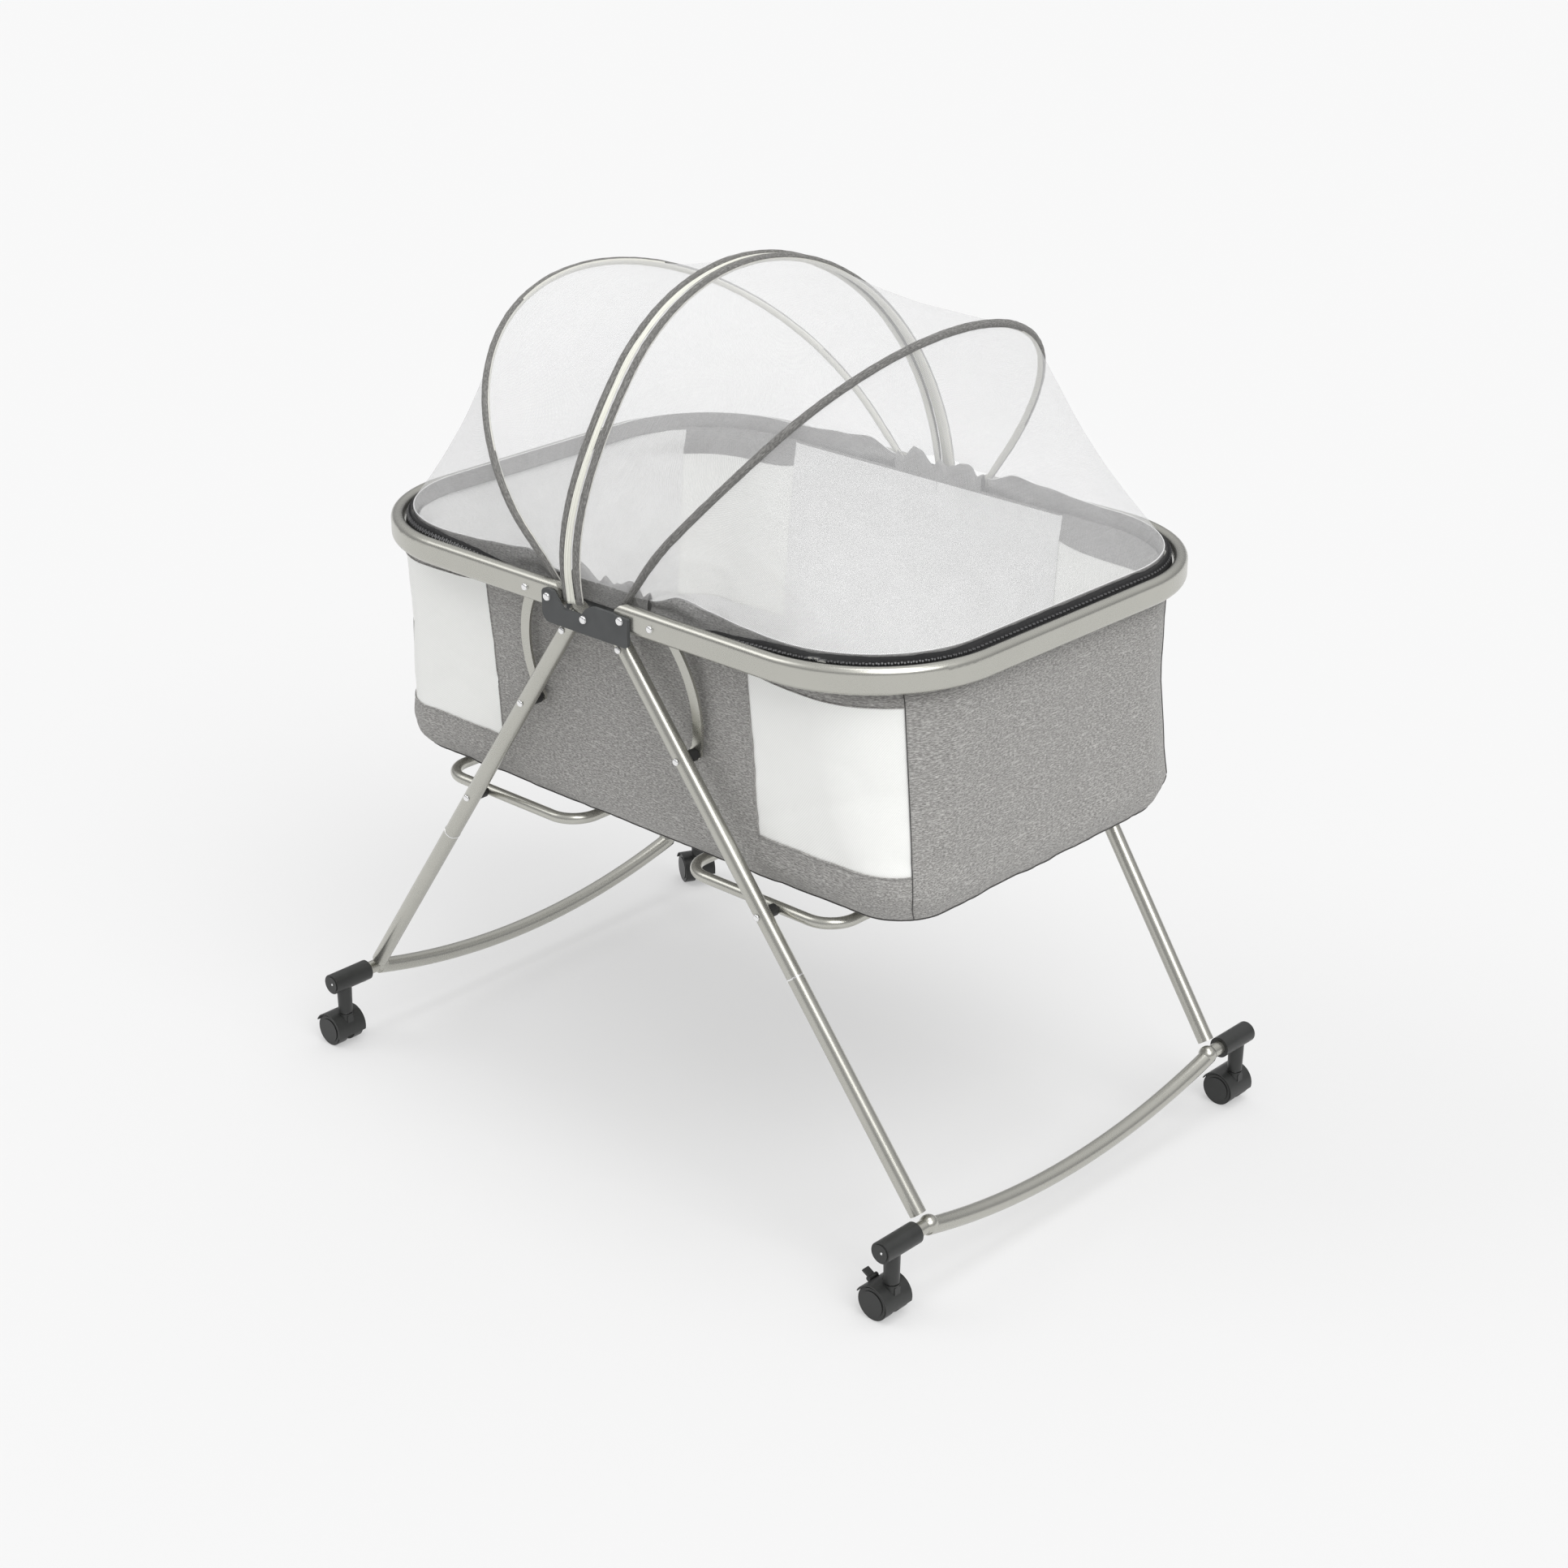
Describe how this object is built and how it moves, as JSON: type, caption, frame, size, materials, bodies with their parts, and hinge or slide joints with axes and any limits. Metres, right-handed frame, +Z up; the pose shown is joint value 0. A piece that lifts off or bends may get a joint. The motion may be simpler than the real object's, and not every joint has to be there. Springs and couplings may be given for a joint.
{
  "type": "bassinet on stand",
  "caption": "Folding bassinet: a fabric cradle in a flat oval rim on a rocking X-stand with swivel casters, under a hooped net canopy that opens in the middle.",
  "frame": {"origin": "on the floor, under the middle of the bounding box", "axes": "+X along the length towards the right-hand end, -Y the long side that faces the viewer, +Z up"},
  "size_m": [0.9385, 0.6759, 0.9971],
  "materials": {
    "bracket_charcoal": "satin, powder-coated",
    "rivet_zinc": "zinc plated",
    "hem_band": "melange woven",
    "frame_aluminium": "satin anodised, warm champagne silver",
    "zipper_tape": "woven tape with moulded teeth",
    "bag_fabric": "melange linen-look woven",
    "window_mesh": "knitted mesh",
    "hoop_sleeve": "melange woven sleeve over a sprung rod",
    "canopy_net": "fine net",
    "strip_satin": "satin binding",
    "bush_plastic": "moulded",
    "base_board": "covered fibreboard",
    "mattress_cover": "quilted",
    "caster_plastic": "moulded, fine texture",
    "wheel_tread": "moulded"
  },
  "bodies": {
    "hub": {"bracket_front": "bracket_charcoal", "bracket_back": "bracket_charcoal", "hub_pins": "rivet_zinc", "hem_middle": "hem_band"},
    "rim_l": {"rim_tube_left": "frame_aluminium", "rim_rivets_left": "rivet_zinc", "zipper_left": "zipper_tape", "hem_left": "hem_band", "bag_left": "bag_fabric", "windows_left": "window_mesh", "net_end_left": "canopy_net"},
    "rim_r": {"rim_tube_right": "frame_aluminium", "rim_rivets_right": "rivet_zinc", "zipper_right": "zipper_tape", "zip_slider": "rivet_zinc", "hem_right": "hem_band", "bag_right": "bag_fabric", "windows_right": "window_mesh", "net_end_right": "canopy_net"},
    "canopy_outer_l": {"hoop_outer_left": "hoop_sleeve", "net_side_left": "canopy_net"},
    "canopy_inner_l": {"hoop_inner_left": "hoop_sleeve"},
    "canopy_outer_r": {"hoop_outer_right": "hoop_sleeve", "net_side_right": "canopy_net"},
    "canopy_inner_r": {"hoop_inner_right": "hoop_sleeve", "net_strip": "strip_satin"},
    "stand_l": {"upper_legs_left": "frame_aluminium", "lower_legs_left": "frame_aluminium", "rocker_left": "frame_aluminium", "leg_rivets_left": "rivet_zinc", "leg_spacers_left": "bush_plastic"},
    "stand_r": {"upper_legs_right": "frame_aluminium", "lower_legs_right": "frame_aluminium", "rocker_right": "frame_aluminium", "leg_rivets_right": "rivet_zinc", "leg_spacers_right": "bush_plastic"},
    "link_l": {"links_left": "frame_aluminium"},
    "link_r": {"links_right": "frame_aluminium"},
    "cradle_l": {"support_loop_left": "frame_aluminium", "base_board_left": "base_board", "mattress_left": "mattress_cover"},
    "cradle_r": {"support_loop_right": "frame_aluminium", "base_board_right": "base_board", "mattress_right": "mattress_cover"},
    "socket_front_left": {"socket_front_left": "caster_plastic"},
    "fork_front_left": {"fork_front_left": "caster_plastic"},
    "wheels_front_left": {"wheels_front_left": "wheel_tread"},
    "socket_front_right": {"socket_front_right": "caster_plastic"},
    "fork_front_right": {"fork_front_right": "caster_plastic"},
    "wheels_front_right": {"wheels_front_right": "wheel_tread"},
    "socket_back_left": {"socket_back_left": "caster_plastic"},
    "fork_back_left": {"fork_back_left": "caster_plastic"},
    "wheels_back_left": {"wheels_back_left": "wheel_tread"},
    "socket_back_right": {"socket_back_right": "caster_plastic"},
    "fork_back_right": {"fork_back_right": "caster_plastic"},
    "wheels_back_right": {"wheels_back_right": "wheel_tread"},
    "brake": {"brake_lever": "caster_plastic"}
  },
  "joints": [
    {"name": "stand_r_fold", "type": "hinge", "parent": "hub", "child": "stand_r", "pos_m": [0.03763, -0.00619, 0.671], "axis": [0, 1, 0], "range_deg": [0, 30]},
    {"name": "rim_r_fold", "type": "hinge", "parent": "hub", "child": "rim_r", "pos_m": [0.06793, -0.00619, 0.684], "axis": [0, 1, 0], "range_deg": [0, 55.2], "deforming": ["bag_right", "windows_right"]},
    {"name": "link_r_turn", "type": "hinge", "parent": "stand_r", "child": "link_r", "pos_m": [0.13319, -0.00619, 0.538], "axis": [0, -1, 0], "range_deg": [0, 5.7]},
    {"name": "cradle_r_tip", "type": "hinge", "parent": "stand_r", "child": "cradle_r", "pos_m": [0.24096, -0.00619, 0.388], "axis": [0, 1, 0], "range_deg": [0, 50.01]},
    {"name": "stand_l_fold", "type": "hinge", "parent": "hub", "child": "stand_l", "pos_m": [-0.01237, -0.00619, 0.671], "axis": [0, -1, 0], "range_deg": [0, 30]},
    {"name": "rim_l_fold", "type": "hinge", "parent": "hub", "child": "rim_l", "pos_m": [-0.04267, -0.00619, 0.684], "axis": [0, -1, 0], "range_deg": [0, 55.2], "deforming": ["bag_left", "windows_left"]},
    {"name": "link_l_turn", "type": "hinge", "parent": "stand_l", "child": "link_l", "pos_m": [-0.10793, -0.00619, 0.538], "axis": [0, 1, 0], "range_deg": [0, 5.7]},
    {"name": "cradle_l_tip", "type": "hinge", "parent": "stand_l", "child": "cradle_l", "pos_m": [-0.2157, -0.00619, 0.388], "axis": [0, -1, 0], "range_deg": [0, 50.01]},
    {"name": "hoop_outer_r_tilt", "type": "hinge", "parent": "rim_r", "child": "canopy_outer_r", "pos_m": [0.06793, -0.00619, 0.684], "axis": [0, 1, 0], "range_deg": [0, 32], "deforming": ["net_end_right"]},
    {"name": "hoop_inner_r_tilt", "type": "hinge", "parent": "canopy_outer_r", "child": "canopy_inner_r", "pos_m": [0.06793, -0.00619, 0.684], "axis": [0, 1, 0], "range_deg": [0, 38], "deforming": ["net_side_right"]},
    {"name": "hoop_outer_l_tilt", "type": "hinge", "parent": "rim_l", "child": "canopy_outer_l", "pos_m": [-0.04267, -0.00619, 0.684], "axis": [0, -1, 0], "range_deg": [0, 26], "deforming": ["net_end_left"]},
    {"name": "hoop_inner_l_tilt", "type": "hinge", "parent": "canopy_outer_l", "child": "canopy_inner_l", "pos_m": [-0.04267, -0.00619, 0.684], "axis": [0, -1, 0], "range_deg": [0, 28], "deforming": ["net_side_left"]},
    {"name": "flip_front_left", "type": "hinge", "parent": "stand_l", "child": "socket_front_left", "pos_m": [-0.43197, -0.29619, 0.087], "axis": [0, 1, 0], "range_deg": [0, 180]},
    {"name": "swivel_front_left", "type": "hinge", "parent": "socket_front_left", "child": "fork_front_left", "pos_m": [-0.43197, -0.31719, 0.06], "axis": [0, 0, 1], "continuous": true},
    {"name": "roll_front_left", "type": "hinge", "parent": "fork_front_left", "child": "wheels_front_left", "pos_m": [-0.44257, -0.31719, 0.02], "axis": [0, 1, 0], "continuous": true},
    {"name": "flip_front_right", "type": "hinge", "parent": "stand_r", "child": "socket_front_right", "pos_m": [0.45723, -0.29619, 0.087], "axis": [0, -1, 0], "range_deg": [0, 180]},
    {"name": "swivel_front_right", "type": "hinge", "parent": "socket_front_right", "child": "fork_front_right", "pos_m": [0.45723, -0.31719, 0.06], "axis": [0, 0, 1], "continuous": true},
    {"name": "roll_front_right", "type": "hinge", "parent": "fork_front_right", "child": "wheels_front_right", "pos_m": [0.44663, -0.31719, 0.02], "axis": [0, 1, 0], "continuous": true},
    {"name": "flip_back_left", "type": "hinge", "parent": "stand_l", "child": "socket_back_left", "pos_m": [-0.43197, 0.28381, 0.087], "axis": [0, 1, 0], "range_deg": [0, 180]},
    {"name": "swivel_back_left", "type": "hinge", "parent": "socket_back_left", "child": "fork_back_left", "pos_m": [-0.43197, 0.30481, 0.06], "axis": [0, 0, 1], "continuous": true},
    {"name": "roll_back_left", "type": "hinge", "parent": "fork_back_left", "child": "wheels_back_left", "pos_m": [-0.44133, 0.30979, 0.02], "axis": [0.4695, 0.8829, 0], "continuous": true},
    {"name": "flip_back_right", "type": "hinge", "parent": "stand_r", "child": "socket_back_right", "pos_m": [0.45723, 0.28381, 0.087], "axis": [0, -1, 0], "range_deg": [0, 180]},
    {"name": "swivel_back_right", "type": "hinge", "parent": "socket_back_right", "child": "fork_back_right", "pos_m": [0.45723, 0.30481, 0.06], "axis": [0, 0, 1], "continuous": true},
    {"name": "roll_back_right", "type": "hinge", "parent": "fork_back_right", "child": "wheels_back_right", "pos_m": [0.44663, 0.30481, 0.02], "axis": [0, 1, 0], "continuous": true},
    {"name": "brake_press", "type": "hinge", "parent": "fork_front_right", "child": "brake", "pos_m": [0.43063, -0.31719, 0.038], "axis": [0, -1, 0], "range_deg": [0, 14]}
  ],
  "couplings": [
    {"joint": "stand_l_fold", "follows": "stand_r_fold", "ratio": 1},
    {"joint": "rim_r_fold", "follows": "stand_r_fold", "ratio": 1.84},
    {"joint": "link_r_turn", "follows": "stand_r_fold", "ratio": 0.19},
    {"joint": "cradle_r_tip", "follows": "stand_r_fold", "ratio": 1.667},
    {"joint": "rim_l_fold", "follows": "stand_r_fold", "ratio": 1.84},
    {"joint": "link_l_turn", "follows": "stand_r_fold", "ratio": 0.19},
    {"joint": "cradle_l_tip", "follows": "stand_r_fold", "ratio": 1.667}
  ]
}
